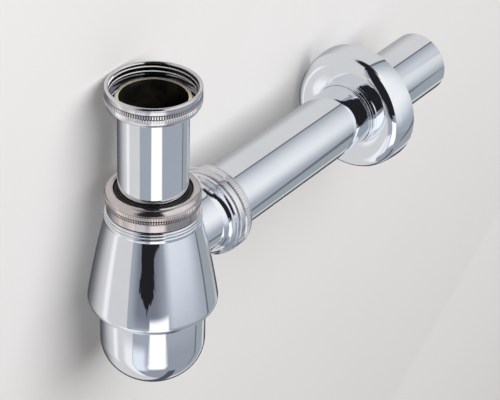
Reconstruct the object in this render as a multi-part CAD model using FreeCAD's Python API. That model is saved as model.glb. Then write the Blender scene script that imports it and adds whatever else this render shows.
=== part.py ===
"""Chromed bottle trap for a wash basin, in millimetres.

The origin is the inlet seat: the top of the inlet tube's lip, on the tube's axis.
+Z points up to the basin and the outlet tube runs along +Y to the wall.
"""
import FreeCAD, Part
import math
import os

Vector = FreeCAD.Vector
UP = Vector(0, 0, 1)

# Tubes and the gaps between pieces
tube_diameter = 32.0
tube_wall = 1.0
seal_clearance = 0.05
thread_clearance = 0.1
ring_gap = 0.1
loose_clearance = 0.3
braze_overlap = 1.5
braze_gap = 0.1
broken_edge = 0.3
fine_edge = 0.2
smallest_rounding = 0.7
same_point = 0.000001

# Inlet tube, its lip and its brazed collar
inlet_tube_tail = 43.2
lip_height = 0.5
lip_flare = 0.5
lip_chamfer = 0.6
collar_width = 2.5
collar_thickness = 1.5

# Inlet nut, threaded for a 1 1/4 inch basin waste: its thread's minor diameter is 38.95
inlet_thread_gap = 3.475
inlet_thread_length = 5.2
inlet_nut_rise = 6.0
inlet_nut_wall = 2.2
inlet_rim_wall = 1.55
inlet_relief_depth = 0.9
inlet_nut_floor = 2.0
inlet_nut_bore_clearance = 0.6
inlet_nut_collar_gap = 0.2
inlet_nut_base_rounding = 2.6

# Compression joints: one on the neck and one on the outlet
joint_mouth_width = 3.0
joint_thread_wall = 1.3
joint_cone_depth = 3.0
joint_cone_taper = 0.8
seal_flange = 2.0
seal_collar_width = 1.8
seal_collar_rise = 2.6
slip_ring_thickness = 1.2
slip_ring_edge_gap = 0.2
nut_lip = 1.7

# Nut on the neck
neck_drop = 51.8
body_nut_wall = 1.4
body_nut_shoulder_rise = 0.7
body_nut_shoulder_width = 1.4
body_nut_shoulder_rounding = 1.0
body_nut_bulge_drop = 1.9
body_nut_bulge_rounding = 1.6
body_nut_crease_depth = 0.4
body_nut_crease_drop = 3.4
body_nut_band_drop = 7.0
body_nut_edge_gap = 0.2
body_nut_base_chamfer = 0.5

# Turned neck with two beads
neck_thread_length = 7.7
neck_bead_width = 1.9
neck_bead_height = 2.3
neck_bead_lower_rounding = 0.7
neck_bead_upper_rounding = 0.9
neck_bead_gap = 0.4
neck_groove_depth = 0.8
neck_foot_bead_height = 1.3
neck_foot_bead_width = 0.3
neck_foot_bead_chamfer = 0.5
dip_flange_thickness = 0.8

# Dip tube that the inlet tube slides in
dip_tube_wall = 0.8
dip_floor_gap = 9.5

# Bell-shaped body
shell_wall = 1.2
bell_top_inset = 0.2
bell_spread = 8.0
bell_rounding = 4.0
bell_side_angle = 8.5
bell_skirt = 12.3

# Outlet branch, its flare and its threaded fitting
branch_gap = 0.5
branch_wall = 1.2
branch_reach = 32.0
flare_length = 4.5
flare_width = 4.0
outlet_ring_length = 1.9
outlet_ring_width = 0.8
outlet_thread_length = 4.4
tube_stop_depth = 1.0

# Nut on the outlet
outlet_nut_wall = 1.0
outlet_nut_edge_gap = 0.2
outlet_nut_bead_length = 1.6
outlet_nut_groove_depth = 0.4
outlet_nut_back_chamfer = 0.6
outlet_nut_front_rounding = 0.7

# Outlet tube and the flange that covers the hole in the wall
outlet_tube_length = 186.9
flange_standoff = 53.8
flange_width = 15.7
flange_wall = 0.8
flange_depth = 14.7
flange_crest_radius = 6.6
flange_bow = 0.7
flange_collar_clearance = 0.15
flange_valley_depth = 3.8
flange_valley_radius = 2.4
flange_lip_rise = 0.8

# Cup that screws into the bell
cup_inset = 5.6
cup_wall = 1.2
cup_straight = 19.2
cup_dome = 21.4
cup_knuckle = 19.0
cup_shoulder_width = 1.8
cup_thread_length = 7.4
cup_lip_gap = 0.1
cup_seal_thickness = 1.55
cup_seal_inset = 0.2
socket_wall = 3.6
socket_length = 7.0

# Radii that several pieces share
tube_radius = tube_diameter / 2
tube_bore = tube_radius - tube_wall
joint_mouth = tube_radius + joint_mouth_width
joint_thread = joint_mouth + joint_thread_wall
nut_bore = joint_thread + thread_clearance
nut_mouth = tube_radius + seal_collar_width + slip_ring_edge_gap
neck_bead = joint_thread + neck_bead_width
branch_bore = tube_radius - branch_wall
dip_bore = tube_radius + loose_clearance
dip_radius = dip_bore + dip_tube_wall
bell_top = neck_bead - bell_top_inset
bell_radius = bell_top + bell_spread
cup_radius = bell_radius - cup_inset
cup_thread = cup_radius - cup_shoulder_width

# Heights and places that several pieces share
nut_lip_seat = seal_flange + slip_ring_thickness + 2 * ring_gap
nut_face = nut_lip_seat + nut_lip
neck_height = (neck_thread_length + neck_bead_height + neck_bead_gap
               + neck_foot_bead_height)
neck_top = -neck_drop
neck_base = neck_top - neck_height
outlet_drop = branch_gap + tube_radius - neck_base
bell_base = neck_base - branch_gap - tube_diameter - bell_skirt
flare_end = branch_reach + flare_length
outlet_ring_end = flare_end + outlet_ring_length
outlet_mouth = outlet_ring_end + outlet_thread_length
outlet_tube_start = flare_end - tube_stop_depth + loose_clearance
outlet_tube_end = outlet_tube_start + outlet_tube_length
flange_back = outlet_tube_end - flange_standoff
cup_shoulder = bell_base + 2 * cup_lip_gap
cup_base = cup_shoulder - cup_straight - cup_dome
socket_base = cup_shoulder + cup_seal_thickness + seal_clearance
dip_tube_end = cup_base + cup_wall + dip_floor_gap
inlet_tube_end = neck_top - inlet_tube_tail


def turned(corners):
    """Solid turned about Z from (radius, height) corners, each with an optional edge size.

    An edge of smallest_rounding or more is a round one, and a smaller one is a chamfer.
    """
    points = [Vector(corner[0], 0, corner[1]) for corner in corners]
    edges = []
    runs = []
    for index, corner in enumerate(corners):
        here = points[index]
        size = corner[2] if len(corner) > 2 else 0
        if not size:
            runs.append((here, here))
            continue
        back = (points[index - 1] - here).normalize()
        ahead = (points[(index + 1) % len(points)] - here).normalize()
        half = back.getAngle(ahead) / 2
        reach = size / math.tan(half)
        start, end = here + back * reach, here + ahead * reach
        runs.append((start, end))
        if size >= smallest_rounding:
            inward = (back + ahead).normalize()
            middle = here + inward * (size / math.sin(half) - size)
            edges.append(Part.Arc(start, middle, end).toShape())
        else:
            edges.append(Part.LineSegment(start, end).toShape())
    for (_, leave), (arrive, _) in zip(runs, runs[1:] + runs[:1]):
        if leave.distanceToPoint(arrive) > same_point:
            edges.append(Part.LineSegment(leave, arrive).toShape())
    return spun(edges)


def spun(edges):
    """Solid turned about Z from the edges of a closed outline in the XZ plane."""
    wire = Part.Wire(Part.__sortEdges__(edges))
    return Part.Face(wire).revolve(Vector(0, 0, 0), UP, 360)


def line(start, end):
    return Part.LineSegment(Vector(start[0], 0, start[1]), Vector(end[0], 0, end[1])).toShape()


def arc(start, middle, end):
    corners = [Vector(r, 0, z) for r, z in (start, middle, end)]
    return Part.Arc(*corners).toShape()


def on_circle(centre, radius, degrees):
    angle = math.radians(degrees)
    return centre[0] + radius * math.cos(angle), centre[1] + radius * math.sin(angle)


def raised(shape, height):
    """The shape moved along the inlet axis."""
    moved = shape.copy()
    moved.translate(UP * height)
    return moved


def along_outlet(shape, reach):
    """The shape turned from the Z axis on to the outlet axis, with its zero at this reach."""
    moved = shape.copy()
    moved.rotate(Vector(0, 0, 0), Vector(1, 0, 0), -90)
    moved.translate(Vector(0, reach, -outlet_drop))
    return moved


def inlet_tube():
    """Plain tube whose bare lip is flared out over the collar."""
    return turned([
        (tube_bore, inlet_tube_end),
        (tube_radius, inlet_tube_end),
        (tube_radius, -lip_height),
        (tube_radius + lip_flare, -lip_height),
        (tube_radius + lip_flare, 0, fine_edge),
        (tube_bore + lip_chamfer, 0),
        (tube_bore, -2 * lip_chamfer),
    ])


def inlet_collar():
    """Ring brazed under the lip: the nut pulls it up against the basin waste."""
    outer = tube_radius + collar_width
    top = -lip_height
    return turned([
        (tube_radius, top - collar_thickness),
        (outer, top - collar_thickness, broken_edge),
        (outer, top, broken_edge),
        (tube_radius, top),
    ])


def inlet_nut():
    """Loose knurled nut that hangs on the collar, open and threaded at the top."""
    thread = tube_radius + inlet_thread_gap
    relief = thread + inlet_relief_depth
    outer = thread + inlet_nut_wall
    rim = thread + inlet_rim_wall
    bore = tube_radius + inlet_nut_bore_clearance
    floor = -lip_height - collar_thickness - inlet_nut_collar_gap
    base = floor - inlet_nut_floor
    lead = inlet_nut_rise - inlet_thread_length
    return turned([
        (bore, base, broken_edge),
        (outer, base, inlet_nut_base_rounding),
        (outer, inlet_nut_rise - lead, broken_edge),
        (rim, inlet_nut_rise, broken_edge),
        (thread + lead / 2, inlet_nut_rise),
        (thread, inlet_thread_length),
        (thread, 0),
        (relief, -inlet_relief_depth / 2),
        (relief, floor),
        (bore, floor),
    ])


def compression_seal():
    """Rubber ring: a cone in the fitting's mouth, a flange on its end and a collar on the tube."""
    bore = tube_radius + seal_clearance
    return turned([
        (bore, -joint_cone_depth),
        (joint_mouth - joint_cone_taper, -joint_cone_depth),
        (joint_mouth, 0),
        (joint_thread - slip_ring_edge_gap, 0),
        (joint_thread - slip_ring_edge_gap, seal_flange),
        (nut_mouth - slip_ring_edge_gap, seal_flange),
        (nut_mouth - slip_ring_edge_gap, seal_flange + seal_collar_rise, broken_edge),
        (bore, seal_flange + seal_collar_rise),
    ])


def slip_ring():
    """Thin ring that lets the nut turn on the rubber without dragging it round."""
    base = seal_flange + ring_gap
    return turned([
        (nut_mouth, base),
        (joint_thread - slip_ring_edge_gap, base),
        (joint_thread - slip_ring_edge_gap, base + slip_ring_thickness),
        (nut_mouth, base + slip_ring_thickness),
    ])


def body_nut():
    """Bulged compression nut on the neck, from its rolled shoulder down to a plain skirt."""
    outer = nut_bore + body_nut_wall
    crest = nut_face + body_nut_shoulder_rise
    crease = outer - body_nut_crease_depth
    bulge = crest - body_nut_bulge_drop
    crease_height = nut_face - body_nut_crease_drop
    band_end = nut_face - body_nut_band_drop
    base = body_nut_edge_gap - neck_thread_length
    return turned([
        (nut_mouth, nut_lip_seat),
        (nut_mouth, nut_face, broken_edge),
        (nut_mouth + body_nut_shoulder_width, crest, body_nut_shoulder_rounding),
        (outer, bulge, body_nut_bulge_rounding),
        (crease, crease_height, fine_edge),
        (outer, crease_height - body_nut_crease_depth, fine_edge),
        (outer, band_end, fine_edge),
        (crease, band_end - body_nut_crease_depth, fine_edge),
        (crease, base, body_nut_base_chamfer),
        (nut_bore, base),
        (nut_bore, nut_lip_seat),
    ])


def mouth_corners(bore, stop):
    """Corners of a fitting's coned mouth, from its end face in to the bore at the stop."""
    throat = joint_mouth - joint_cone_taper
    return [
        (joint_thread, 0, broken_edge),
        (joint_mouth, 0),
        (throat, -joint_cone_depth),
        (throat, stop),
        (bore, stop),
    ]


def neck_fitting():
    """Turned neck: male thread, two beads and a spigot inside the top of the bell."""
    bore = dip_radius + seal_clearance
    groove = neck_bead - neck_groove_depth
    foot_bead = neck_bead + neck_foot_bead_width
    spigot = bell_top - shell_wall - braze_gap
    foot_top = neck_foot_bead_height - neck_height
    bead_base = foot_top + neck_bead_gap
    bead_top = bead_base + neck_bead_height
    stop = -joint_cone_depth - dip_flange_thickness
    return raised(turned(mouth_corners(bore, stop) + [
        (bore, -neck_height - braze_overlap),
        (spigot, -neck_height - braze_overlap),
        (spigot, -neck_height),
        (foot_bead, -neck_height),
        (foot_bead, foot_top, neck_foot_bead_chamfer),
        (groove, foot_top),
        (groove, bead_base),
        (neck_bead, bead_base, neck_bead_lower_rounding),
        (neck_bead, bead_top, neck_bead_upper_rounding),
        (joint_thread, bead_top),
    ]), neck_top)


def dip_tube():
    """Flanged tube that hangs in the neck and carries the waste down into the cup."""
    top = neck_top - joint_cone_depth
    flange = joint_mouth - joint_cone_taper - seal_clearance
    return turned([
        (dip_bore, dip_tube_end),
        (dip_radius, dip_tube_end),
        (dip_radius, top - dip_flange_thickness),
        (flange, top - dip_flange_thickness),
        (flange, top),
        (dip_bore, top),
    ])


def bell_solid(inset):
    """Solid inside the bell's skin: a slightly bowed side that runs into a round foot."""
    foot = (bell_radius - bell_rounding, bell_base + bell_rounding)
    lean = math.radians(bell_side_angle)
    out_r, out_z = bell_top - foot[0], neck_base - foot[1]
    along = out_r * math.cos(lean) + out_z * math.sin(lean)
    distance = out_r * out_r + out_z * out_z - bell_rounding ** 2
    offset = distance / (2 * (bell_rounding - along))
    centre = (foot[0] - offset * math.cos(lean), foot[1] - offset * math.sin(lean))
    bow = offset + bell_rounding - inset
    rounding = bell_rounding - inset
    rise = math.degrees(math.asin((neck_base - centre[1]) / bow))
    top = on_circle(centre, bow, rise)
    side_end = on_circle(foot, rounding, bell_side_angle)
    side_middle = on_circle(centre, bow, (rise + bell_side_angle) / 2)
    base = on_circle(foot, rounding, -90)
    round_middle = on_circle(foot, rounding, (bell_side_angle - 90) / 2)
    return spun([
        line((0, neck_base), top),
        arc(top, side_middle, side_end),
        arc(side_end, round_middle, base),
        line(base, (0, base[1])),
        line((0, base[1]), (0, neck_base)),
    ])


def body_shell():
    """Thin bell with a hole in its foot for the cup and one in its side for the outlet."""
    mouth = Part.makeCylinder(cup_radius + cup_lip_gap, bell_rounding, Vector(0, 0, bell_base))
    branch = along_outlet(Part.makeCylinder(branch_bore, branch_reach), 0)
    return bell_solid(0).cut(bell_solid(shell_wall)).cut(mouth).cut(branch)


def cup_socket():
    """Threaded ring brazed on the floor of the bell, with a step over the cup's seal."""
    bore = cup_thread + thread_clearance
    outer = bore + socket_wall
    step = cup_radius + cup_lip_gap
    floor = bell_base + shell_wall
    ring = turned([
        (bore, socket_base),
        (step, socket_base),
        (step, floor),
        (outer, floor),
        (outer, floor + socket_length),
        (bore, floor + socket_length),
    ])
    return ring.common(bell_solid(shell_wall))


def outlet_branch():
    """Short tube cut to a saddle on the bell, with its far end flared out."""
    centre = (tube_radius + flare_width, branch_reach)
    stop = flare_end - tube_stop_depth
    counterbore = tube_radius + loose_clearance
    halfway = math.radians(45)
    flare_middle = (
        centre[0] - flare_width * math.cos(halfway),
        centre[1] + flare_length * math.sin(halfway),
    )
    tube = spun([
        line((branch_bore, 0), (tube_radius, 0)),
        line((tube_radius, 0), (tube_radius, branch_reach)),
        arc((tube_radius, branch_reach), flare_middle, (centre[0], flare_end)),
        line((centre[0], flare_end), (counterbore, flare_end)),
        line((counterbore, flare_end), (counterbore, stop)),
        line((counterbore, stop), (branch_bore, stop)),
        line((branch_bore, stop), (branch_bore, 0)),
    ])
    return along_outlet(tube, 0).cut(bell_solid(0))


def outlet_fitting():
    """Ring and male thread brazed on the flare."""
    bore = tube_radius + loose_clearance
    ring = tube_radius + flare_width + outlet_ring_width
    back = flare_end - outlet_mouth
    return along_outlet(turned(mouth_corners(bore, -joint_cone_depth) + [
        (bore, back),
        (ring, back, broken_edge),
        (ring, back + outlet_ring_length, broken_edge),
        (joint_thread, back + outlet_ring_length),
    ]), outlet_mouth)


def outlet_nut():
    """Compression nut on the outlet: a knurled band between two rounded beads."""
    outer = nut_bore + outlet_nut_wall
    groove = outer - outlet_nut_groove_depth
    back = outlet_nut_edge_gap - outlet_thread_length
    back_bead = back + 2 * outlet_nut_bead_length
    front_bead = nut_face - outlet_nut_bead_length
    return along_outlet(turned([
        (nut_bore, back),
        (outer, back, outlet_nut_back_chamfer),
        (outer, back_bead, broken_edge),
        (groove, back_bead + outlet_nut_groove_depth, fine_edge),
        (outer, back_bead + 2 * outlet_nut_groove_depth, fine_edge),
        (outer, front_bead, fine_edge),
        (groove, front_bead, fine_edge),
        (groove, nut_face, outlet_nut_front_rounding),
        (nut_mouth, nut_face, broken_edge),
        (nut_mouth, nut_lip_seat),
        (nut_bore, nut_lip_seat),
    ]), outlet_mouth)


def outlet_tube():
    """Plain tube from the outlet joint through the wall."""
    return along_outlet(turned([
        (tube_bore, outlet_tube_start),
        (tube_radius, outlet_tube_start),
        (tube_radius, outlet_tube_end),
        (tube_bore, outlet_tube_end),
    ]), 0)


def wall_flange():
    """Spun cover: a bowed skirt on the wall, a round crest, a valley and a collar on the tube.

    Four arcs run into each other: the skirt's bow, the crest, the crest's inner side and the valley.
    """
    front = flange_back - flange_depth
    collar = tube_radius + flange_collar_clearance
    collar_outer = collar + flange_wall
    lip = front - flange_lip_rise
    crest = flange_crest_radius
    ridge = tube_radius + flange_width - flange_bow - crest
    crest_centre = (ridge, front + crest)
    skirt_height = flange_depth - crest
    bow = crest + (flange_bow ** 2 + skirt_height ** 2) / (2 * flange_bow)
    bow_centre = (tube_radius + flange_width - bow, flange_back)
    bow_turn = math.degrees(math.atan2(skirt_height, ridge - bow_centre[0]))
    valley = flange_valley_radius
    valley_centre = (collar_outer + valley, front + flange_valley_depth - valley)
    across = ridge - valley_centre[0]
    inner = (across ** 2 + flange_valley_depth ** 2) / (2 * flange_valley_depth) - valley
    inner_centre = (ridge, front + inner)
    inner_turn = math.degrees(math.atan2(inner_centre[1] - valley_centre[1], across))

    def circle_arc(centre, radius, start, end):
        return arc(*(on_circle(centre, radius, degrees) for degrees in (start, (start + end) / 2, end)))

    def skin(inset):
        return [
            circle_arc(bow_centre, bow - inset, 0, -bow_turn),
            circle_arc(crest_centre, crest - inset, -bow_turn, -90),
            circle_arc(inner_centre, inner - inset, -90, -180 + inner_turn),
            circle_arc(valley_centre, valley + inset, inner_turn, 180),
        ]

    skirt, foot = tube_radius + flange_width, valley_centre[1]
    edges = skin(0) + skin(flange_wall) + [
        line((skirt, flange_back), (skirt - flange_wall, flange_back)),
        line((collar_outer, foot), (collar_outer, lip)),
        line((collar_outer, lip), (collar, lip)),
        line((collar, lip), (collar, foot)),
    ]
    return along_outlet(spun(edges), 0)


def cup():
    """Domed cup with a male thread above its shoulder."""
    dome_height = cup_base + cup_dome
    bore = cup_radius - cup_wall
    neck_bore = cup_thread - cup_wall
    rim = cup_shoulder + cup_thread_length
    excess = cup_radius ** 2 + cup_dome ** 2 - 2 * cup_radius * cup_knuckle
    crown = excess / (2 * (cup_dome - cup_knuckle))
    knuckle_centre = (cup_radius - cup_knuckle, dome_height)
    crown_centre = (0, cup_base + crown)
    turn = math.degrees(math.atan2(crown_centre[1] - dome_height, knuckle_centre[0]))

    def dome(inset):
        """Knuckle and crown of the dome, from the side of the cup to its lowest point."""
        side = on_circle(knuckle_centre, cup_knuckle - inset, 0)
        bend = on_circle(knuckle_centre, cup_knuckle - inset, -turn / 2)
        meet = on_circle(knuckle_centre, cup_knuckle - inset, -turn)
        low = on_circle(crown_centre, crown - inset, (-turn - 90) / 2)
        pole = on_circle(crown_centre, crown - inset, -90)
        return [arc(side, bend, meet), arc(meet, low, pole)]

    return spun(dome(0) + dome(cup_wall) + [
        line((cup_radius, dome_height), (cup_radius, cup_shoulder)),
        line((cup_radius, cup_shoulder), (cup_thread, cup_shoulder)),
        line((cup_thread, cup_shoulder), (cup_thread, rim)),
        line((cup_thread, rim), (neck_bore, rim)),
        line((neck_bore, rim), (neck_bore, cup_shoulder - cup_wall)),
        line((neck_bore, cup_shoulder - cup_wall), (bore, cup_shoulder - 3 * cup_wall)),
        line((bore, cup_shoulder - 3 * cup_wall), (bore, dome_height)),
        line((0, cup_base + cup_wall), (0, cup_base)),
    ])


def cup_seal():
    """Rubber ring on the cup's shoulder, squeezed against the socket."""
    return turned([
        (cup_thread + seal_clearance, cup_shoulder),
        (cup_radius - cup_seal_inset, cup_shoulder),
        (cup_radius - cup_seal_inset, cup_shoulder + cup_seal_thickness),
        (cup_thread + seal_clearance, cup_shoulder + cup_seal_thickness),
    ])


pieces = {
    "inlet_tube": inlet_tube(),
    "inlet_collar": inlet_collar(),
    "inlet_nut": inlet_nut(),
    "inlet_seal": raised(compression_seal(), neck_top),
    "inlet_slip_ring": raised(slip_ring(), neck_top),
    "body_nut": raised(body_nut(), neck_top),
    "neck_fitting": neck_fitting(),
    "dip_tube": dip_tube(),
    "body_shell": body_shell(),
    "cup_socket": cup_socket(),
    "cup_seal": cup_seal(),
    "cup": cup(),
    "outlet_branch": outlet_branch(),
    "outlet_fitting": outlet_fitting(),
    "outlet_seal": along_outlet(compression_seal(), outlet_mouth),
    "outlet_slip_ring": along_outlet(slip_ring(), outlet_mouth),
    "outlet_nut": outlet_nut(),
    "outlet_tube": outlet_tube(),
    "wall_flange": wall_flange(),
}

os.makedirs("parts", exist_ok=True)
for name, shape in pieces.items():
    shape.exportStep(f"parts/{name}.step")
    box = shape.BoundBox
    print(f"{name:17s} solids {len(shape.Solids)} valid {shape.isValid()} "
          f"volume {shape.Volume:9.1f} y {box.YMin:7.2f} to {box.YMax:7.2f} "
          f"z {box.ZMin:8.2f} to {box.ZMax:8.2f}")
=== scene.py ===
"""Dresses a chromed bottle trap that lies on its side on a pale table, as in a catalogue photograph.

Sizes are in millimetres until a point is placed; MM turns them into metres.
"""
from collections import namedtuple
import math

import bpy
from mathutils import Matrix, Vector


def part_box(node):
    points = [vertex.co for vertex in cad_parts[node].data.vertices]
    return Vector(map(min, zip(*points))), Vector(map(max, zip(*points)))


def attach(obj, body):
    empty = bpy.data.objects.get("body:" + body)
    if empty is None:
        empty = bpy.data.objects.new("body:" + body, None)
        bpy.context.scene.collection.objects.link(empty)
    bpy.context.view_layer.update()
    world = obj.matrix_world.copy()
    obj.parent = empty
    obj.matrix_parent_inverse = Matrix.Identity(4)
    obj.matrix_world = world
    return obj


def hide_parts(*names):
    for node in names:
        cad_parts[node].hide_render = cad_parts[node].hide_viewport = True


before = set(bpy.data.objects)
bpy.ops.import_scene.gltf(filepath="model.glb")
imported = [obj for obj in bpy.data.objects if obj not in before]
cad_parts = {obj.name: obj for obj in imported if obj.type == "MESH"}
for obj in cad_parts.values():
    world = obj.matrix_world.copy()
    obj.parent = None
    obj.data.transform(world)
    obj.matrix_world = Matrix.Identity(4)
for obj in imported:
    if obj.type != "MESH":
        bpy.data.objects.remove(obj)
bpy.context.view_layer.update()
bpy.ops.object.select_all(action="DESELECT")

MM = 0.001
TURN_STEPS = 192
SCREW_STEPS = 72
ARC_STEPS = 8
KNURL_TEETH = 120
TOOTH_MARGIN = 0.27
TOOTH_RISE = 0.3
SMOOTH_ANGLE = math.radians(24)
SAME_POINT = 0.000002

# Radii of the tubes and of the joints that both ends share, and heights above a joint's mouth
TUBE = 16.0
BORE = 15.0
BRANCH_BORE = 14.8
JOINT_THREAD = 20.3
JOINT_CORE = 19.75
JOINT_MOUTH = 19.0
JOINT_THROAT = 18.2
CONE_DEPTH = 3.0
NUT_BORE = 20.4
NUT_MOUTH = 18.0
NUT_LIP_SEAT = 3.4
NUT_FACE = 5.1
THREAD_PITCH = 1.5

# Heights on the inlet's axis and reaches along the outlet's
NECK_TOP = -51.8
NECK_BASE = -63.5
NECK_BEADS_TOP = -57.6
BELL_TOP = -62.6
BELL_BASE = -108.3
OUTLET_DROP = 80.0
OUTLET_RING = 36.5
OUTLET_MOUTH = 42.8


def node_span(node, axis):
    """Outer radius, and both ends along its axis, of a construction piece in millimetres."""
    low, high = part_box(node)
    along = 2 if axis == "inlet" else 1
    return high.x / MM, low[along] / MM, high[along] / MM


# Outlines

def rounded(corners, steps=ARC_STEPS):
    """Points of an outline from (radius, height) corners, each with an optional rounding."""
    points = []
    for index, corner in enumerate(corners):
        here = Vector(corner[:2])
        if len(corner) < 3:
            points.append(here)
            continue
        back = (Vector(corners[index - 1][:2]) - here).normalized()
        ahead = (Vector(corners[(index + 1) % len(corners)][:2]) - here).normalized()
        half = back.angle(ahead) / 2
        centre = here + (back + ahead).normalized() * (corner[2] / math.sin(half))
        start = here + back * (corner[2] / math.tan(half)) - centre
        turn = math.pi - 2 * half
        if start.y * back.x - start.x * back.y < 0:
            turn = -turn
        for step in range(steps + 1):
            points.append(centre + Matrix.Rotation(turn * step / steps, 2) @ start)
    return [tuple(point) for point in points]


def on_circle(centre, radius, degrees):
    angle = math.radians(degrees)
    return centre[0] + radius * math.cos(angle), centre[1] + radius * math.sin(angle)


def arc(centre, radius, start, end, steps):
    """Points along a circle from one angle to another, in degrees."""
    return [on_circle(centre, radius, start + (end - start) * k / steps) for k in range(steps + 1)]


# Modelling steps

def place(axis, radius, height):
    """A point beside the inlet's or the outlet's axis, in metres."""
    if axis == "inlet":
        return Vector((radius, 0, height)) * MM
    return Vector((radius, height, -OUTLET_DROP)) * MM


def axis_line(axis):
    """Centre and direction of an axis."""
    if axis == "inlet":
        return (0, 0, 0), (0, 0, 1)
    return (0, 0, -OUTLET_DROP * MM), (0, 1, 0)


def beside(axis, point):
    """Radius and height of a point beside an axis, in millimetres."""
    if axis == "inlet":
        return math.hypot(point[0], point[1]) / MM, point[2] / MM
    return math.hypot(point[0], point[2] + OUTLET_DROP * MM) / MM, point[1] / MM


def begin(name, point):
    """Starts a mesh as one vertex at a point, in edit mode."""
    bpy.ops.object.select_all(action="DESELECT")
    bpy.ops.mesh.primitive_plane_add(size=MM, location=point, enter_editmode=True)
    bpy.ops.mesh.select_mode(type="VERT")
    bpy.ops.mesh.select_all(action="SELECT")
    bpy.ops.mesh.merge(type="CENTER")
    piece = bpy.context.object
    piece.name = name
    piece.data.name = name
    return piece


def draw(points):
    """Extrudes the selected vertex along the points."""
    for start, end in zip(points, points[1:]):
        bpy.ops.mesh.extrude_vertices_move(TRANSFORM_OT_translate={"value": end - start})


def settle(piece):
    """Leaves edit mode, puts the piece's place in its mesh and smooths its round faces."""
    bpy.ops.object.mode_set(mode="OBJECT")
    bpy.ops.object.transform_apply(location=True, rotation=True, scale=True)
    bpy.ops.object.shade_smooth_by_angle(angle=SMOOTH_ANGLE)
    return piece


def turned(name, axis, outline, material=None, steps=TURN_STEPS, closed=True):
    """Turns an outline of (radius, height) points about an axis."""
    points = [place(axis, radius, height) for radius, height in outline]
    if closed:
        points.append(points[0])
    piece = begin(name, points[0])
    draw(points)
    centre, direction = axis_line(axis)
    bpy.ops.mesh.select_all(action="SELECT")
    bpy.ops.mesh.remove_doubles(threshold=SAME_POINT)
    bpy.ops.mesh.spin(steps=steps, angle=2 * math.pi, center=centre, axis=direction)
    bpy.ops.mesh.select_all(action="SELECT")
    bpy.ops.mesh.remove_doubles(threshold=SAME_POINT)
    bpy.ops.mesh.dissolve_degenerate(threshold=SAME_POINT)
    bpy.ops.mesh.normals_make_consistent(inside=False)
    if material:
        piece.data.materials.append(material)
    return settle(piece)


def make_active(piece):
    """Selects one piece alone."""
    bpy.ops.object.select_all(action="DESELECT")
    bpy.context.view_layer.objects.active = piece
    piece.select_set(True)


def pick_faces(piece, test):
    """Goes into edit mode with only the faces that pass the test selected."""
    make_active(piece)
    bpy.ops.object.mode_set(mode="EDIT")
    bpy.ops.mesh.select_mode(type="FACE")
    bpy.ops.mesh.select_all(action="DESELECT")
    bpy.ops.object.mode_set(mode="OBJECT")
    for face in piece.data.polygons:
        face.select = test(face)
    bpy.ops.object.mode_set(mode="EDIT")


def paint(piece, material, test):
    """Gives the faces that pass the test another material."""
    piece.data.materials.append(material)
    pick_faces(piece, test)
    piece.active_material_index = len(piece.data.materials) - 1
    bpy.ops.object.material_slot_assign()
    bpy.ops.object.mode_set(mode="OBJECT")


def knurl(piece, axis, low, high, radius):
    """Raises a tooth on each face of a nut's band."""
    def on_band(face):
        r, h = beside(axis, face.center)
        return low < h < high and r > radius - 2 * TOOTH_RISE

    pick_faces(piece, on_band)
    margin, rise = TOOTH_MARGIN * MM, TOOTH_RISE * MM
    bpy.ops.mesh.inset(thickness=margin, depth=rise, use_individual=True, use_even_offset=True)
    settle(piece)


def shade_gaps(piece, axis, low, high, radius):
    """Paints the gaps between a band's teeth dark, as painted shade between the teeth."""
    def in_gap(face):
        r, h = beside(axis, face.center)
        return low < h < high and radius - TOOTH_RISE - 0.1 < r < radius - 0.06

    paint(piece, NUT_GAP_SHADE, in_gap)


def taper_ends(piece, outline):
    """Sinks both ends of a screwed outline to its root over a sixth of a turn."""
    root, size = outline[0][0], len(outline)
    vertices = list(piece.data.vertices)
    layers = [vertices[k:k + size] for k in range(0, len(vertices), size)]
    sink = SCREW_STEPS / 6
    for layer, members in enumerate(layers):
        share = min(1, layer / sink, (len(layers) - 1 - layer) / sink)
        for vertex, (radius, _) in zip(members, outline):
            now = math.hypot(vertex.co.x, vertex.co.y)
            want = (root + (radius - root) * share) * MM
            vertex.co.x *= want / now
            vertex.co.y *= want / now


def screw_ridge(name, axis, material, root, crest, pitch, start, turns, width=0.72):
    """A thread's ridge: a trapezium wound round an axis, sunk into its carrier at both ends."""
    half, top = pitch * width / 2, pitch * 0.12
    outline = [(root, -half), (crest, -top), (crest, top), (root, half)]
    points = [place("inlet", radius, start + height) for radius, height in outline]
    piece = begin(name, points[0])
    draw(points + points[:1])
    bpy.ops.mesh.select_all(action="SELECT")
    bpy.ops.mesh.remove_doubles(threshold=SAME_POINT)
    settle(piece)
    screw = piece.modifiers.new("thread", "SCREW")
    screw.axis = "Z"
    screw.angle = 2 * math.pi * turns
    screw.screw_offset = pitch * turns * MM
    screw.steps = round(SCREW_STEPS * turns)
    screw.render_steps = screw.steps
    bpy.ops.object.modifier_apply(modifier="thread")
    taper_ends(piece, outline)
    if axis == "outlet":
        for vertex in piece.data.vertices:
            x, y, z = vertex.co
            vertex.co = (x, z, y - OUTLET_DROP * MM)
    bpy.ops.object.mode_set(mode="EDIT")
    bpy.ops.mesh.select_mode(type="EDGE")
    bpy.ops.mesh.select_all(action="DESELECT")
    bpy.ops.mesh.select_non_manifold()
    bpy.ops.mesh.edge_face_add()
    bpy.ops.mesh.select_all(action="SELECT")
    bpy.ops.mesh.normals_make_consistent(inside=False)
    piece.data.materials.append(material)
    return settle(piece)


def join(piece, other):
    """Joins another mesh into a piece."""
    make_active(piece)
    other.select_set(True)
    bpy.ops.object.join()


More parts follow.
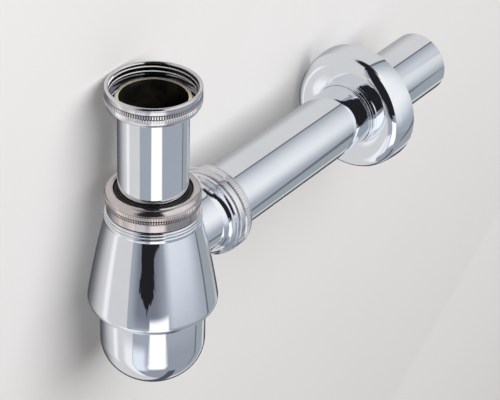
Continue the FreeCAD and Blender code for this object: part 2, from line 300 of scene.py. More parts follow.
def cut(piece, tool):
    """Takes a tool's volume out of a piece, and deletes the tool."""
    make_active(piece)
    boolean = piece.modifiers.new("cut", "BOOLEAN")
    boolean.operation = "DIFFERENCE"
    boolean.solver = "EXACT"
    boolean.object = tool
    bpy.ops.object.modifier_apply(modifier="cut")
    bpy.data.objects.remove(tool)
    bpy.ops.object.shade_smooth_by_angle(angle=SMOOTH_ANGLE)


def dress(piece, body, slot, *nodes):
    """Gives a piece its body and hides the construction pieces that it stands for; the slot is not used."""
    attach(piece, body)
    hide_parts(*nodes)


# Shader nodes

def new_group(name, inputs, outputs):
    """An empty shader group with float sockets."""
    group = bpy.data.node_groups.new(name, "ShaderNodeTree")
    for label, value in inputs:
        socket = group.interface.new_socket(label, in_out="INPUT", socket_type="NodeSocketFloat")
        socket.default_value = value
    for label in outputs:
        group.interface.new_socket(label, in_out="OUTPUT", socket_type="NodeSocketFloat")
    return group, group.nodes.new("NodeGroupInput"), group.nodes.new("NodeGroupOutput")


def noise_node(tree, scale, detail, roughness=0.5):
    """A noise texture on object coordinates; the scale is in features to the metre."""
    place_node = tree.nodes.new("ShaderNodeTexCoord")
    noise = tree.nodes.new("ShaderNodeTexNoise")
    noise.inputs["Scale"].default_value = scale
    noise.inputs["Detail"].default_value = detail
    noise.inputs["Roughness"].default_value = roughness
    tree.links.new(place_node.outputs["Object"], noise.inputs["Vector"])
    return noise


def math_node(tree, operation, first, second=None):
    """A math node whose inputs are sockets or numbers."""
    node = tree.nodes.new("ShaderNodeMath")
    node.operation = operation
    for socket, value in zip(node.inputs, (first, second)):
        if isinstance(value, (int, float)):
            socket.default_value = value
        elif value is not None:
            tree.links.new(value, socket)
    return node.outputs[0]


def map_node(tree, value, low, high, to_low, to_high, smooth=False):
    """A map range node."""
    node = tree.nodes.new("ShaderNodeMapRange")
    if smooth:
        node.interpolation_type = "SMOOTHSTEP"
    tree.links.new(value, node.inputs["Value"])
    for label, number in zip(("From Min", "From Max", "To Min", "To Max"), (low, high, to_low, to_high)):
        node.inputs[label].default_value = number
    return node.outputs["Result"]


def blend(tree, first, second, mask):
    """Mixes two colours, which are sockets or plain colours, by a mask."""
    mix = tree.nodes.new("ShaderNodeMix")
    mix.data_type = "RGBA"
    for label, value in (("A", first), ("B", second)):
        if isinstance(value, tuple):
            mix.inputs[label].default_value = (*value, 1)
        else:
            tree.links.new(value, mix.inputs[label])
    tree.links.new(mask, mix.inputs["Factor"])
    return mix.outputs["Result"]


def choose(tree, factor, otherwise, chosen):
    """Shows one shader where the factor is 0 and the other where it is 1."""
    mix = tree.nodes.new("ShaderNodeMixShader")
    for socket, value in zip(mix.inputs, (factor, otherwise, chosen)):
        tree.links.new(value, socket)
    return mix.outputs[0]


# Materials

def polish_group():
    """Roughness and height of polished metal: a buffing haze, faint waviness and a fine grain."""
    group, given, made = new_group(
        "polish", [("Roughness", 0.03), ("Haze", 0.03), ("Grain", 1.0)], ["Roughness", "Height"])
    haze_scale, wave_scale, grain_scale, grain_share = 70, 55, 2600, 0.004
    haze = noise_node(group, haze_scale, 3)
    cloud = map_node(group, haze.outputs["Fac"], 0.45, 0.75, 0, 1, smooth=True)
    spread = math_node(group, "MULTIPLY", cloud, given.outputs["Haze"])
    total = math_node(group, "ADD", spread, given.outputs["Roughness"])
    group.links.new(total, made.inputs["Roughness"])
    wave = noise_node(group, wave_scale, 1, 0.4)
    grain = noise_node(group, grain_scale, 2)
    fine = math_node(group, "MULTIPLY", grain.outputs["Fac"], given.outputs["Grain"])
    fine = math_node(group, "MULTIPLY", fine, grain_share)
    height = math_node(group, "ADD", wave.outputs["Fac"], fine)
    group.links.new(height, made.inputs["Height"])
    return group


def mottle_group():
    """A mask of soft cloudy patches between 0 and 1."""
    group, given, made = new_group("mottle", [("Scale", 60.0)], ["Mask"])
    noise = noise_node(group, 60, 4, 0.6)
    group.links.new(given.outputs["Scale"], noise.inputs["Scale"])
    mask = map_node(group, noise.outputs["Fac"], 0.35, 0.68, 0, 1, smooth=True)
    group.links.new(mask, made.inputs["Mask"])
    return group


POLISH = polish_group()
MOTTLE = mottle_group()
METAL_PATCHES = 45


def new_material(name):
    material = bpy.data.materials.new(name)
    material.use_nodes = True
    tree = material.node_tree
    return material, tree, tree.nodes["Principled BSDF"]


def add_group(tree, group, values):
    node = tree.nodes.new("ShaderNodeGroup")
    node.node_tree = group
    for label, value in values.items():
        node.inputs[label].default_value = value
    return node


def mottled(tree, shader, scale, colour, tint):
    """Colours a shader with cloudy patches, and gives their mask."""
    mask = add_group(tree, MOTTLE, {"Scale": scale}).outputs["Mask"]
    tree.links.new(blend(tree, colour, tint, mask), shader.inputs["Base Color"])
    return mask


def add_bump(tree, height, shader, distance):
    bump = tree.nodes.new("ShaderNodeBump")
    bump.inputs["Distance"].default_value = distance * MM
    tree.links.new(height, bump.inputs["Height"])
    tree.links.new(bump.outputs["Normal"], shader.inputs["Normal"])


def metal(name, colour, tint, roughness, haze=0.08, grain=1.5, bump=0.03):
    """A polished or turned metal with cloudy tint, haze and slight waviness."""
    material, tree, shader = new_material(name)
    shader.inputs["Metallic"].default_value = 1
    polish = add_group(tree, POLISH, {"Roughness": roughness, "Haze": haze, "Grain": grain})
    tree.links.new(polish.outputs["Roughness"], shader.inputs["Roughness"])
    mottled(tree, shader, METAL_PATCHES, colour, tint)
    add_bump(tree, polish.outputs["Height"], shader, bump)
    return material


def dull(name, scale, colour, tint, roughness, specular, bump):
    """A dull surface whose patches differ in colour, in roughness and in height."""
    material, tree, shader = new_material(name)
    mask = mottled(tree, shader, scale, colour, tint)
    tree.links.new(map_node(tree, mask, 0, 1, *roughness), shader.inputs["Roughness"])
    shader.inputs["Specular IOR Level"].default_value = specular
    add_bump(tree, mask, shader, bump)
    return material


CHROME = metal("chrome", (0.90, 0.92, 0.95), (0.86, 0.89, 0.93), 0.025, haze=0.03, grain=0.4, bump=0.02)
NUT_CHROME = metal("nut_chrome", (0.74, 0.68, 0.665), (0.60, 0.54, 0.525), 0.13)
LOOSE_NUT = metal("loose_nut", (0.86, 0.85, 0.86), (0.74, 0.725, 0.73), 0.11)
# Painted shade: a dark metal for the inside of the inlet nut, where shade falls
NUT_INSIDE_SHADE = metal("nut_inside_shade", (0.30, 0.30, 0.325), (0.13, 0.125, 0.13), 0.09, grain=1.0)
# Painted shade: a darker metal for the gaps between knurl teeth
NUT_GAP_SHADE = metal("nut_gap_shade", (0.36, 0.33, 0.32), (0.16, 0.14, 0.135), 0.25, haze=0.1, grain=1.0)
BRASS = metal("brass", (1.0, 0.92, 0.72), (0.98, 0.85, 0.60), 0.3, haze=0.1)
# Painted highlight: a pale matt grey on the thread's crest, standing in for its bright lines
CREST_HIGHLIGHT = dull("crest_highlight", METAL_PATCHES, (0.81, 0.81, 0.81), (0.79, 0.79, 0.79), (1, 1), 0, 0)
RUBBER = dull("rubber", 300, (0.006, 0.006, 0.007), (0.016, 0.015, 0.015), (0.42, 0.6), 0.35, 0.03)
# Painted shade: near-black for the bores of the tubes, where shade falls
BORE_SHADE = dull("bore", 120, (0.004, 0.004, 0.004), (0.02, 0.016, 0.012), (0.55, 0.55), 0.15, 0.04)


# Inlet tube, with its bare lip and its bore painted dark as shade, and the collar brazed under the lip

def make_inlet():
    base = node_span("inlet_tube", "inlet")[1]
    lip, lip_bore, lip_base, bare = 17.0, 15.4, -0.5, -0.3
    tube = turned("inlet_tube_skin", "inlet", rounded([
        (BORE, base), (TUBE, base), (TUBE, lip_base), (lip, lip_base, 0.1), (lip, 0, 0.2), (lip_bore, 0, 0.1),
        (BORE, -1.2),
    ]), CHROME)
    middle = (BORE + TUBE) / 2
    paint(tube, BRASS, lambda face: face.center.z > bare * MM)
    # The bore is painted near-black as shade
    paint(tube, BORE_SHADE, lambda face: beside("inlet", face.center)[0] < middle and face.center.z < bare * MM)
    dress(tube, "inlet", "chrome", "inlet_tube")
    collar, collar_base = 18.5, -2.0
    ring = turned("inlet_collar_ring", "inlet", rounded([
        (TUBE, collar_base), (collar, collar_base, 0.3), (collar, lip_base, 0.3), (TUBE, lip_base),
    ]), CHROME)
    dress(ring, "inlet", "brass", "inlet_collar")


# Loose inlet nut: a plain rim, a knurled band, a round foot and an inside thread

def make_inlet_nut():
    outer, base, top = node_span("inlet_nut", "inlet")
    root, crest, pitch, hole, mouth = 20.75, 19.5, 2.309, 16.6, 19.85
    relief, floor = 20.4, -2.2
    band, band_base, band_middle, band_top = outer - 0.3, -1.3, 0.6, 2.7
    neck = outer - 0.25
    nut = turned("inlet_nut_body", "inlet", rounded([
        (hole, base, 0.3), (band, base, 2.6), (band, band_base), (band, band_middle), (band, band_top),
        (neck, 3.0), (neck, 4.4, 0.3), (outer, 4.7, 0.2), (outer, top, 0.9), (mouth, top, 0.85),
        (mouth, 5.0, 0.1), (root, 4.6), (root, 0), (relief, -0.45), (relief, floor), (hole, floor),
    ]), LOOSE_NUT, steps=KNURL_TEETH)
    knurl(nut, "inlet", band_base, band_top, outer)
    # Painted shade in the gaps of the band's upper half
    shade_gaps(nut, "inlet", band_middle, band_top, outer)
    sunk, start, turns = root + 0.1, 0.9, 1.75
    # The ridge's crest is painted pale as a highlight
    ridge = screw_ridge("inlet_nut_thread", "inlet", CREST_HIGHLIGHT, sunk, crest, pitch, start, turns, width=0.6)
    join(nut, ridge)

    def inside(face):
        r, h = beside("inlet", face.center)
        return crest + 0.1 < r < root + 0.15 and floor - 0.1 < h < 4.9

    # All of the inside is painted dark as shade, apart from the thread's crest, which is painted pale as a
    # highlight
    paint(nut, NUT_INSIDE_SHADE, inside)
    dress(nut, "inlet_nut", "nut_chrome", "inlet_nut")


# Nut on the neck: a rolled shoulder, a bulge, a knurled band and a plain skirt

def make_body_nut():
    outer, _, top = node_span("body_nut", "inlet")
    seat, face = NECK_TOP + NUT_LIP_SEAT, NECK_TOP + NUT_FACE
    bulge_r, bulge_z = 18.9, -49.0
    band, band_top, band_middle, band_base = outer - 0.3, -49.3, -51.3, -52.7
    skirt, skirt_base = outer - 0.5, NECK_BEADS_TOP + 0.2
    bulge = [
        (bulge_r + (outer - bulge_r) * math.sin(t), bulge_z + (top - bulge_z) * math.cos(t))
        for t in [math.radians(90 * k / 20) for k in range(20)]
    ]
    nut = turned("body_nut_body", "inlet", bulge + rounded([
        (outer - 0.1, bulge_z + 0.1), (outer - 0.4, bulge_z, 0.1), (outer, band_top + 0.1),
        (band, band_top), (band, band_middle), (band, band_base), (outer, band_base - 0.1),
        (outer, band_base - 0.3, 0.1), (skirt, band_base - 0.7, 0.4), (skirt, skirt_base, 0.5),
        (NUT_BORE, skirt_base), (NUT_BORE, seat), (NUT_MOUTH, seat), (NUT_MOUTH, face, 0.3), bulge[0],
    ])[:-1], NUT_CHROME, steps=KNURL_TEETH)
    knurl(nut, "inlet", band_base, band_top, outer)
    # Painted shade in the gaps of the band's lower half
    shade_gaps(nut, "inlet", band_base, band_middle, outer)
    dress(nut, "body_nut", "nut_chrome", "body_nut")


# Neck of the body: a thread under the nut, three beads and a spigot in the bell

def make_neck():
    bore, throat_base = 17.15, NECK_TOP - CONE_DEPTH - 0.8
    spigot, spigot_base = 20.7, NECK_BASE - 1.5
    beads = [
        (22.3, BELL_TOP, 0.4), (22.3, -60.5, 0.6), (21.4, -60.5), (21.4, -60.3),
        (22.2, -60.3, 0.5), (22.2, -59.0, 0.5), (21.3, -59.0), (21.3, -58.8),
        (21.9, -58.8, 0.4), (21.9, NECK_BEADS_TOP, 0.6),
    ]
    neck = turned("neck_ring", "inlet", rounded([
        (JOINT_CORE, NECK_TOP, 0.3), (JOINT_MOUTH, NECK_TOP), (JOINT_THROAT, NECK_TOP - CONE_DEPTH),
        (JOINT_THROAT, throat_base), (bore, throat_base), (bore, spigot_base), (spigot, spigot_base),
        (spigot, BELL_TOP), *beads, (JOINT_CORE, NECK_BEADS_TOP),
    ]), CHROME)
    root, start = JOINT_CORE - 0.1, NECK_BEADS_TOP + 0.7
    join(neck, screw_ridge("neck_thread", "inlet", CHROME, root, JOINT_THREAD, THREAD_PITCH, start, 2.8))
    dress(neck, "trap_body", "chrome", "neck_fitting")


# Bell of the body and the branch that leaves it

def bell_outline(inset):
    """Outer or inner skin of the bell, from its top to the middle of its foot."""
    top, radius, foot_round, lean = 22.0, 30.0, 4.0, 8.5
    foot = (radius - foot_round, BELL_BASE + foot_round)
    out_r, out_z = top - foot[0], BELL_TOP - foot[1]
    tilt = math.radians(lean)
    along = out_r * math.cos(tilt) + out_z * math.sin(tilt)
    offset = (out_r ** 2 + out_z ** 2 - foot_round ** 2) / (2 * (foot_round - along))
    centre = (foot[0] - offset * math.cos(tilt), foot[1] - offset * math.sin(tilt))
    bow = offset + foot_round - inset
    rise = math.degrees(math.asin((BELL_TOP - centre[1]) / bow))
    side = arc(centre, bow, rise, lean, 48)
    return side + arc(foot, foot_round - inset, lean, -90, 24)[1:]


def make_bell():
    wall, mouth, hole_end = 1.2, 24.5, 32.0
    floor = [(mouth, BELL_BASE), (mouth, BELL_BASE + wall)]
    bell = turned("bell", "inlet", bell_outline(0) + floor + bell_outline(wall)[::-1], CHROME)
    hole = [(0, 0), (BRANCH_BORE, 0), (BRANCH_BORE, hole_end), (0, hole_end)]
    cut(bell, turned("bell_hole", "outlet", hole, closed=False))
    dress(bell, "trap_body", "chrome", "body_shell")


def make_branch():
    root, reach, flare_r, flare_y = 8.0, 32.0, 4.0, 4.5
    rim, rim_depth = TUBE + 0.3, OUTLET_RING - 1
    flare = [
        (TUBE + flare_r * (1 - math.cos(t)), reach + flare_y * math.sin(t))
        for t in [math.radians(90 * k / 16) for k in range(17)]
    ]
    end = [(rim, OUTLET_RING), (rim, rim_depth), (BRANCH_BORE, rim_depth)]
    branch = turned("branch", "outlet", [(BRANCH_BORE, root), (TUBE, root)] + flare + end, CHROME)
    solid = [(0, BELL_TOP)] + bell_outline(0) + [(0, BELL_BASE)]
    cut(branch, turned("bell_solid", "inlet", solid, closed=False))
    dress(branch, "trap_body", "chrome", "outlet_branch")


# Ring and thread on the end of the branch

def make_outlet_fitting():
    ring, ring_front, bore = 20.8, 38.4, 16.3
    throat = OUTLET_MOUTH - CONE_DEPTH
    fitting = turned("outlet_ring", "outlet", rounded([
        (JOINT_CORE, OUTLET_MOUTH, 0.3), (JOINT_MOUTH, OUTLET_MOUTH), (JOINT_THROAT, throat), (bore, throat),
        (bore, OUTLET_RING), (ring, OUTLET_RING, 0.35), (ring, ring_front, 0.35), (JOINT_CORE, ring_front),
    ]), CHROME)
    root, start = JOINT_CORE - 0.1, ring_front + 0.6
    join(fitting, screw_ridge("outlet_thread", "outlet", CHROME, root, JOINT_THREAD, THREAD_PITCH, start, 2))
    dress(fitting, "trap_body", "chrome", "outlet_fitting")


# Nut on the outlet: a plain bead, a knurled band and a rolled front

def make_outlet_nut():
    outer, back, _ = node_span("outlet_nut", "outlet")
    seat, face = OUTLET_MOUTH + NUT_LIP_SEAT, OUTLET_MOUTH + NUT_FACE
    groove, band, band_back, band_face = outer - 0.4, outer - 0.25, back + 4.2, face - 1.7
    nut = turned("outlet_nut_body", "outlet", rounded([
        (NUT_BORE, back), (outer, back, 0.6), (outer, back + 3.2, 0.3), (groove, back + 3.6, 0.15),
        (outer, back + 4.0, 0.15), (band, band_back), (band, band_face), (outer, face - 1.65),
        (outer, face - 1.45, 0.1), (groove, face - 1.4, 0.1), (groove, face, 0.7),
        (NUT_MOUTH, face, 0.3), (NUT_MOUTH, seat), (NUT_BORE, seat),
    ]), LOOSE_NUT, steps=KNURL_TEETH)
    knurl(nut, "outlet", band_back, band_face, outer)
    dress(nut, "outlet_nut", "nut_chrome", "outlet_nut")


# Outlet tube, bright outside, with its inside painted dark as shade

def make_outlet_tube():
    _, start, end = node_span("outlet_tube", "outlet")
    tube = turned("outlet_tube_skin", "outlet", rounded([
        (BORE, start), (TUBE, start), (TUBE, end, 0.25), (BORE, end, 0.25),
    ]), CHROME)
    # The inside is painted near-black as shade
    paint(tube, BORE_SHADE, lambda face: beside("outlet", face.center)[0] < BORE + 0.1)
    dress(tube, "outlet_tube", "chrome", "outlet_tube")


# Wall flange: a skirt, a round crest, a shallow valley and a collar on the tube

def make_flange():
    back, front, lip = 168.9, 154.2, 153.3
    wall, crest, bow_rise, skirt, collar, valley = 0.8, 6.6, 0.7, 31.7, 16.15, 0.35
    depth, valley_depth, cone = back - front, 0.9, 3
    ridge = skirt - bow_rise - crest
    bow = crest + (bow_rise ** 2 + (depth - crest) ** 2) / (2 * bow_rise)
    bow_centre, crest_centre = (skirt - bow, back), (ridge, front + crest)
    bow_turn = math.degrees(math.atan2(depth - crest, ridge - bow_centre[0]))
    valley_height = front + valley_depth - valley
    lean = math.radians(cone)
    cone_height = valley_height + valley * math.sin(lean) - lip
    valley_r = collar + wall + cone_height * math.tan(lean) + valley * math.cos(lean)
    across = ridge - valley_r
    inner = (across ** 2 + valley_depth ** 2) / (2 * valley_depth) - valley
    inner_turn = math.degrees(math.atan2(front + inner - valley_height, across))

    def skin(inset):
        """From the rim at the wall, over the crest and through the valley, to the collar's cone."""
        return (
            arc(bow_centre, bow - inset, 0, -bow_turn, 16)
            + arc(crest_centre, crest - inset, -bow_turn, -90, 32)[1:]
            + arc((ridge, front + inner), inner - inset, -90, inner_turn - 180, 24)[1:]
            + arc((valley_r, valley_height), valley + inset, inner_turn, 180 - cone, 12)[1:]
        )

    rim = rounded([
        skin(0)[-1], (collar + wall, lip, 0.45), (collar, lip, 0.25), (collar, lip + 0.5), skin(wall)[-1],
    ])
    flange = turned("wall_flange_cover", "outlet", skin(0)[:-1] + rim[:-1] + skin(wall)[::-1], CHROME)
    dress(flange, "wall_flange", "chrome", "wall_flange")


# Cup that screws into the bell

def make_cup():
    radius, wall, knuckle, dome = 24.4, 1.2, 19.0, 21.4
    rim, shoulder, dome_height, thread, pitch = -100.7, -108.12, -127.3, 22.6, 2.0
    core = thread - 0.5
    base = dome_height - dome
    crown = (radius ** 2 + dome ** 2 - 2 * radius * knuckle) / (2 * (dome - knuckle))
    knuckle_centre = (radius - knuckle, dome_height)
    crown_centre = (0, base + crown)
    turn = math.degrees(math.atan2(crown_centre[1] - dome_height, knuckle_centre[0]))

    def bowl(inset):
        """Outer or inner skin of the dome, from its side to its lowest point."""
        side = arc(knuckle_centre, knuckle - inset, 0, -turn, 28)
        return side + arc(crown_centre, crown - inset, -turn, -90, 20)[1:]

    outside = rounded([(core, rim), (core, shoulder), (radius, shoulder, 0.4), (radius, dome_height)])
    inside = [(radius - wall, shoulder - 3 * wall), (core - wall, shoulder - wall), (core - wall, rim)]
    cup = turned("cup_body", "inlet", outside[:-1] + bowl(0) + bowl(wall)[::-1] + inside, CHROME)
    join(cup, screw_ridge("cup_thread", "inlet", CHROME, core - 0.1, thread, pitch, shoulder + 2.2, 2.2))
    dress(cup, "cup", "chrome", "cup")


# Rubber seals that show in the nuts' mouths

def make_seal(name, axis, mouth, body, node):
    bore, depth, top, lip = TUBE + 0.05, -CONE_DEPTH, 4.6, 17.8
    flank, step = 20.1, 2.0
    outline = rounded([
        (bore, depth), (JOINT_THROAT, depth), (JOINT_MOUTH, 0), (flank, 0), (flank, step), (lip, step),
        (lip, top, 0.5), (bore, top, 0.3),
    ])
    seal = turned(name, axis, [(radius, mouth + height) for radius, height in outline], RUBBER)
    dress(seal, body, "rubber", node)


def dress_hidden():
    """Finishes the construction pieces that stay as they are."""
    finishes = {
        "dip_tube": BRASS, "cup_socket": BRASS, "cup_seal": RUBBER,
        "inlet_slip_ring": RUBBER, "outlet_slip_ring": RUBBER,
    }
    for node, material in finishes.items():
        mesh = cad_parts[node].data
        mesh.materials.clear()
        mesh.materials.append(material)


# Camera, solved from the outlines of both tubes and the round edges of the nuts and the flange

CAMERA_TILT = 32.742
CAMERA_TURN = 35.356
CAMERA_ROLL = 1.761
CAMERA_DISTANCE = 986.257
CAMERA_RIGHT = 42.031
CAMERA_UP = -41.552
CAMERA_AIM_DROP = 4.06
CAMERA_LENS = 163.09
CAMERA_SENSOR = 36
CAMERA_SIGHT = 100


def make_camera():
    tilt, turn, roll = (math.radians(a) for a in (CAMERA_TILT, CAMERA_TURN, CAMERA_ROLL))
    ahead = Vector((-math.sin(turn) * math.cos(tilt), math.cos(turn) * math.cos(tilt), -math.sin(tilt)))
    level = Vector((math.cos(turn), math.sin(turn), 0))
    upright = level.cross(ahead)
    right = level * math.cos(roll) + upright * math.sin(roll)
    up = upright * math.cos(roll) - level * math.sin(roll)
    aim = right * CAMERA_RIGHT + up * CAMERA_UP - Vector((0, 0, CAMERA_AIM_DROP))
    data = bpy.data.cameras.new("camera")
    data.lens = CAMERA_LENS
    data.sensor_width = CAMERA_SENSOR
    data.clip_end = CAMERA_SIGHT
    camera = bpy.data.objects.new("camera", data)
    bpy.context.scene.collection.objects.link(camera)
    facing = Matrix((right, up, -ahead)).transposed().to_4x4()
    camera.matrix_world = Matrix.Translation((aim - ahead * CAMERA_DISTANCE) * MM) @ facing
    bpy.context.scene.camera = camera


# Table: the trap lies on the bell, the inlet nut and the flange's rim

TABLE_NORMAL = Vector((0.9966, 0.021, -0.080)).normalized()
TABLE_GAP = 0.3
TABLE_SIZE = 6000
TABLE_PATCHES = 3
TABLE_COLOUR = (0.80, 0.79, 0.775)
TABLE_TINT = (0.82, 0.81, 0.80)


def lowest_side():
    """How low the pieces reach towards the table, in metres."""
    return min(
        TABLE_NORMAL.dot(vertex.co)
        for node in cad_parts.values()
        for vertex in node.data.vertices
    )


def make_table():
    centre = TABLE_NORMAL * (lowest_side() - TABLE_GAP * MM)
    turn = TABLE_NORMAL.to_track_quat("Z", "Y").to_euler()
    bpy.ops.object.select_all(action="DESELECT")
    bpy.ops.mesh.primitive_plane_add(size=TABLE_SIZE * MM, location=centre, rotation=turn)
    table = bpy.context.object
    table.name = "table"
    material, tree, shader = new_material("table")
    mottled(tree, shader, TABLE_PATCHES, TABLE_COLOUR, TABLE_TINT)
    shader.inputs["Roughness"].default_value = 0.9
    shader.inputs["Specular IOR Level"].default_value = 0.1
    clear = tree.nodes.new("ShaderNodeBsdfTransparent")
    side = tree.nodes.new("ShaderNodeNewGeometry").outputs["Backfacing"]
    out = tree.nodes["Material Output"]
    tree.links.new(choose(tree, side, shader.outputs[0], clear.outputs[0]), out.inputs["Surface"])
    table.data.materials.append(material)
    table.visible_glossy = False


# Studio: what polished metal mirrors, by compass angle and height above the horizon in degrees

ROOM = (0.375, 0.405, 0.455)
CARD = (0.68, 0.67, 0.675)
HORIZON = (0.16, 0.175, 0.20)
BEHIND_CAMERA = (0.017, 0.016, 0.019)
SHADE = (0.09, 0.09, 0.10)
GROUND_BAND = (0.085, 0.095, 0.11)
SOFTBOX = (1.15, 1.15, 1.15)
PALE_ROOM = (0.86, 0.855, 0.85)
FILL = (0.28, 0.27, 0.26)
COMPASS_START = -60

# Patches: colour, compass from and to, height from and to, softness of those four edges
ROOM_PATCHES = [
    ((0.32, 0.34, 0.39), (-60, 300), (-90, -34.5), (1, 1, 1, 4)),
    ((0.70, 0.73, 0.80), (52, 112), (-20, 4), (40, 16, 20, 10)),
    ((0.95, 0.96, 0.97), (28, 119), (-4, 66), (56, 6, 34, 8)),
    ((0.19, 0.205, 0.245), (126, 174), (-19, -3), (30, 18, 4, 4)),
    ((0.84, 0.87, 0.95), (158, 300), (-60, -34.5), (16, 1, 10, 3)),
    (HORIZON, (32, 37), (-55, -17), (2, 2, 8, 4)),
    ((0.34, 0.37, 0.40), (-60, 32), (-60, 14), (1, 2, 10, 30)),
]
DARK_PATCHES = [
    (BEHIND_CAMERA, (117, 177), (-6, 84), (2, 3, 2, 5)),
    (BEHIND_CAMERA, (103, 192), (58, 91), (6, 6, 6, 1)),
]
CARD_PATCHES = [
    ((0.95, 0.93, 0.94), (224, 235), (-44, -6), (8, 10, 10, 8)),
    ((0.95, 0.94, 0.95), (180, 206), (-80, -34), (1, 14, 10, 4)),
    ((0.42, 0.44, 0.49), (180, 186.5), (-66, -34), (1, 2, 10, 4)),
    ((0.15, 0.15, 0.155), (260, 300), (-48, -8), (52, 4, 14, 22)),
    ((0.42, 0.425, 0.44), (-60, 10), (-30, 8), (2, 4, 4, 34)),
]

# Edges: where a mask's edge lies and how soft it is; ramps: two heights and the values there
SOFTBOX_COMPASS = 131
SOFTBOX_REACH = (-42, -30, 22, 16)
SOFTBOX_SPREAD = (-36, -32.2, 11, 3)
SOFTBOX_EDGES = (-54, 9), (-17.9, 1)
TONGUE_LEAN = (-9, -6.2, 152, 143)
TONGUE_TIP = (-17.2, -13.8, 0, 12.8)
TONGUE_ROOT = (-9, -6.2, 0, 12)
TONGUE_EDGES = (-17.2, 0.6), (-4, 1)
TONGUE_SOFTNESS = 1.5
TONGUE_RAGS = 24
TONGUE_WANDER = 2.5
TABLE_SIDE = (0.996, -0.087, 0.0)
TABLE_EDGE = (0, 0.02)
TABLE_LINE = -0.012
TABLE_LINE_EDGES = (0.03, 0.03), (12, 8), (0, 0.1)
SHADE_WAY = (-0.507, 0.604, -0.616)
SHADE_EDGES = (0.90, 0.06), (-27, 7)
GROUND_BAND_WAY = (0.35, 0.937, 0.0)
GROUND_BAND_LINE = 0.235
GROUND_BAND_EDGES = (0.09, 0.05), (-54, 6), (0.46, 0.06)
OVERHEAD_EDGE = (70, 12)

Sky = namedtuple("Sky", "tree where x y compass height")


def look_round(tree):
    """The direction of a ray in the studio, with its compass angle and height in degrees."""
    where = tree.nodes.new("ShaderNodeTexCoord").outputs["Generated"]
    parts = tree.nodes.new("ShaderNodeSeparateXYZ")
    tree.links.new(where, parts.inputs[0])
    x, y, z = parts.outputs
    compass = math_node(tree, "MULTIPLY", math_node(tree, "ARCTAN2", x, y), 180 / math.pi)
    compass = math_node(tree, "FLOORED_MODULO", math_node(tree, "SUBTRACT", compass, COMPASS_START), 360)
    compass = math_node(tree, "ADD", compass, COMPASS_START)
    height = math_node(tree, "MULTIPLY", math_node(tree, "ARCSINE", z), 180 / math.pi)
    return Sky(tree, where, x, y, compass, height)


def above(tree, value, edge, softness):
    """A mask that is 1 above an edge."""
    return map_node(tree, value, edge - softness / 2, edge + softness / 2, 0, 1, smooth=True)


def below(tree, value, edge, softness):
    """A mask that is 1 below an edge."""
    return map_node(tree, value, edge - softness / 2, edge + softness / 2, 1, 0, smooth=True)


def times(tree, *masks):
    product = masks[0]
    for mask in masks[1:]:
        product = math_node(tree, "MULTIPLY", product, mask)
    return product


def off(tree, value, middle):
    """How far a value lies from a middle, on either side."""
    return math_node(tree, "ABSOLUTE", math_node(tree, "SUBTRACT", value, middle))


def along(sky, way):
    """How far the ray points along a way."""
    dot = sky.tree.nodes.new("ShaderNodeVectorMath")
    dot.operation = "DOT_PRODUCT"
    dot.inputs[1].default_value = way
    sky.tree.links.new(sky.where, dot.inputs[0])
    return dot.outputs["Value"]


def patched(sky, colour, patches):
    """Lays soft-edged patches over a colour."""
    tree = sky.tree
    for patch, sides, heights, soft in patches:
        mask = times(
            tree,
            above(tree, sky.compass, sides[0], soft[0]), below(tree, sky.compass, sides[1], soft[1]),
            above(tree, sky.height, heights[0], soft[2]), below(tree, sky.height, heights[1], soft[3]))
        colour = blend(tree, colour, patch, mask)
    return colour


def softbox(sky, colour):
    """A white soft light that widens towards the floor."""
    tree = sky.tree
    reach = map_node(tree, sky.height, *SOFTBOX_REACH)
    spread = map_node(tree, sky.height, *SOFTBOX_SPREAD)
    across = math_node(tree, "SUBTRACT", off(tree, sky.compass, SOFTBOX_COMPASS), reach)
    across = below(tree, math_node(tree, "DIVIDE", across, spread), 0, 1)
    low, high = SOFTBOX_EDGES
    mask = times(tree, across, above(tree, sky.height, *low), below(tree, sky.height, *high))
    return blend(tree, colour, SOFTBOX, mask)


def dark_tongue(sky, colour):
    """A ragged tongue that hangs from the dark behind the camera."""
    tree = sky.tree
    rags = tree.nodes.new("ShaderNodeTexNoise")
    rags.inputs["Scale"].default_value = TONGUE_RAGS
    tree.links.new(sky.where, rags.inputs["Vector"])
    wander = map_node(tree, rags.outputs["Fac"], 0.3, 0.7, -TONGUE_WANDER, TONGUE_WANDER)
    middle = off(tree, sky.compass, map_node(tree, sky.height, *TONGUE_LEAN))
    reach = math_node(tree, "ADD", map_node(tree, sky.height, *TONGUE_TIP, smooth=True),
                      map_node(tree, sky.height, *TONGUE_ROOT))
    across = math_node(tree, "SUBTRACT", math_node(tree, "ADD", middle, wander), reach)
    low, high = TONGUE_EDGES
    mask = times(tree, below(tree, across, 0, TONGUE_SOFTNESS),
                 above(tree, sky.height, *low), below(tree, sky.height, *high))
    return blend(tree, colour, BEHIND_CAMERA, mask)


def table_half(sky, colour):
    """The pale table's half, with a dark line along its far edge."""
    tree = sky.tree
    aside = along(sky, TABLE_SIDE)
    card = patched(sky, CARD, CARD_PATCHES)
    colour = blend(tree, colour, card, below(tree, aside, *TABLE_EDGE))
    line, low, ahead = TABLE_LINE_EDGES
    mask = times(tree, below(tree, off(tree, aside, TABLE_LINE), *line),
                 above(tree, sky.height, *low), above(tree, sky.y, *ahead))
    return blend(tree, colour, HORIZON, mask)


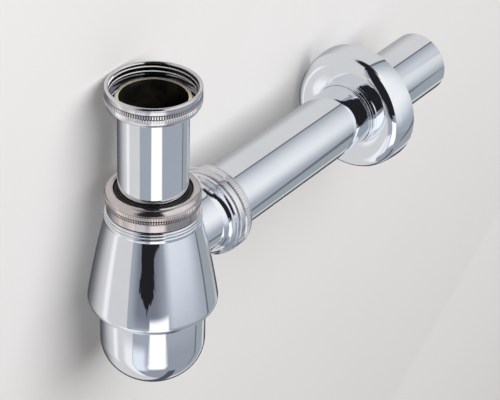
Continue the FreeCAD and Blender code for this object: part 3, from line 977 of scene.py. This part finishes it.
def shades(sky, colour):
    """The shade behind and under the trap, which the lower outlines mirror, and the dark overhead."""
    tree = sky.tree
    way, high = SHADE_EDGES
    mask = times(tree, above(tree, along(sky, SHADE_WAY), *way), below(tree, sky.height, *high))
    colour = blend(tree, colour, SHADE, mask)
    line, high, side = GROUND_BAND_EDGES
    mask = times(tree, below(tree, off(tree, along(sky, GROUND_BAND_WAY), GROUND_BAND_LINE), *line),
                 below(tree, sky.height, *high), below(tree, sky.x, *side))
    colour = blend(tree, colour, GROUND_BAND, mask)
    return blend(tree, colour, BEHIND_CAMERA, above(tree, sky.height, *OVERHEAD_EDGE))


def background(tree, colour):
    node = tree.nodes.new("ShaderNodeBackground")
    if isinstance(colour, tuple):
        node.inputs["Color"].default_value = (*colour, 1)
    else:
        tree.links.new(colour, node.inputs["Color"])
    return node.outputs[0]


def make_world():
    """Mirrors show the studio, dull surfaces get the fill light, and the camera sees a pale room."""
    world = bpy.data.worlds.new("studio")
    bpy.context.scene.world = world
    world.use_nodes = True
    tree = world.node_tree
    tree.nodes.clear()
    sky = look_round(tree)
    colour = softbox(sky, patched(sky, ROOM, ROOM_PATCHES))
    colour = dark_tongue(sky, patched(sky, colour, DARK_PATCHES))
    colour = shades(sky, table_half(sky, colour))
    rays = tree.nodes.new("ShaderNodeLightPath").outputs
    shown = choose(tree, rays["Is Glossy Ray"], background(tree, PALE_ROOM), background(tree, colour))
    shown = choose(tree, rays["Is Diffuse Ray"], shown, background(tree, FILL))
    out = tree.nodes.new("ShaderNodeOutputWorld")
    tree.links.new(shown, out.inputs["Surface"])


# Lamp: a large soft light over the table, for the shadows

LAMP_AIM = Vector((0, 0, 40))
LAMP_WAY = Vector((1, 0.1, 0.65)).normalized()
LAMP_DISTANCE = 1500
LAMP_SIZE = 1900
LAMP_POWER = 33.5
LAMP_COLOUR = (0.975, 0.98, 1.0)


def make_lamp():
    data = bpy.data.lights.new("overhead", "AREA")
    data.shape = "SQUARE"
    data.size = LAMP_SIZE * MM
    data.energy = LAMP_POWER
    data.color = LAMP_COLOUR
    lamp = bpy.data.objects.new("overhead", data)
    bpy.context.scene.collection.objects.link(lamp)
    upright = (Vector((0, 0, 1)) - LAMP_WAY * LAMP_WAY.z).normalized()
    facing = Matrix((upright.cross(LAMP_WAY), upright, LAMP_WAY)).transposed().to_4x4()
    lamp.matrix_world = Matrix.Translation((LAMP_AIM + LAMP_WAY * LAMP_DISTANCE) * MM) @ facing
    lamp.visible_glossy = False


make_inlet()
make_inlet_nut()
make_body_nut()
make_neck()
make_bell()
make_branch()
make_outlet_fitting()
make_outlet_nut()
make_outlet_tube()
make_flange()
make_cup()
make_seal("neck_rubber", "inlet", NECK_TOP, "inlet_seal", "inlet_seal")
make_seal("outlet_rubber", "outlet", OUTLET_MOUTH, "trap_body", "outlet_seal")
dress_hidden()
make_camera()
make_table()
make_world()
make_lamp()
bpy.context.scene.view_settings.view_transform = "Standard"
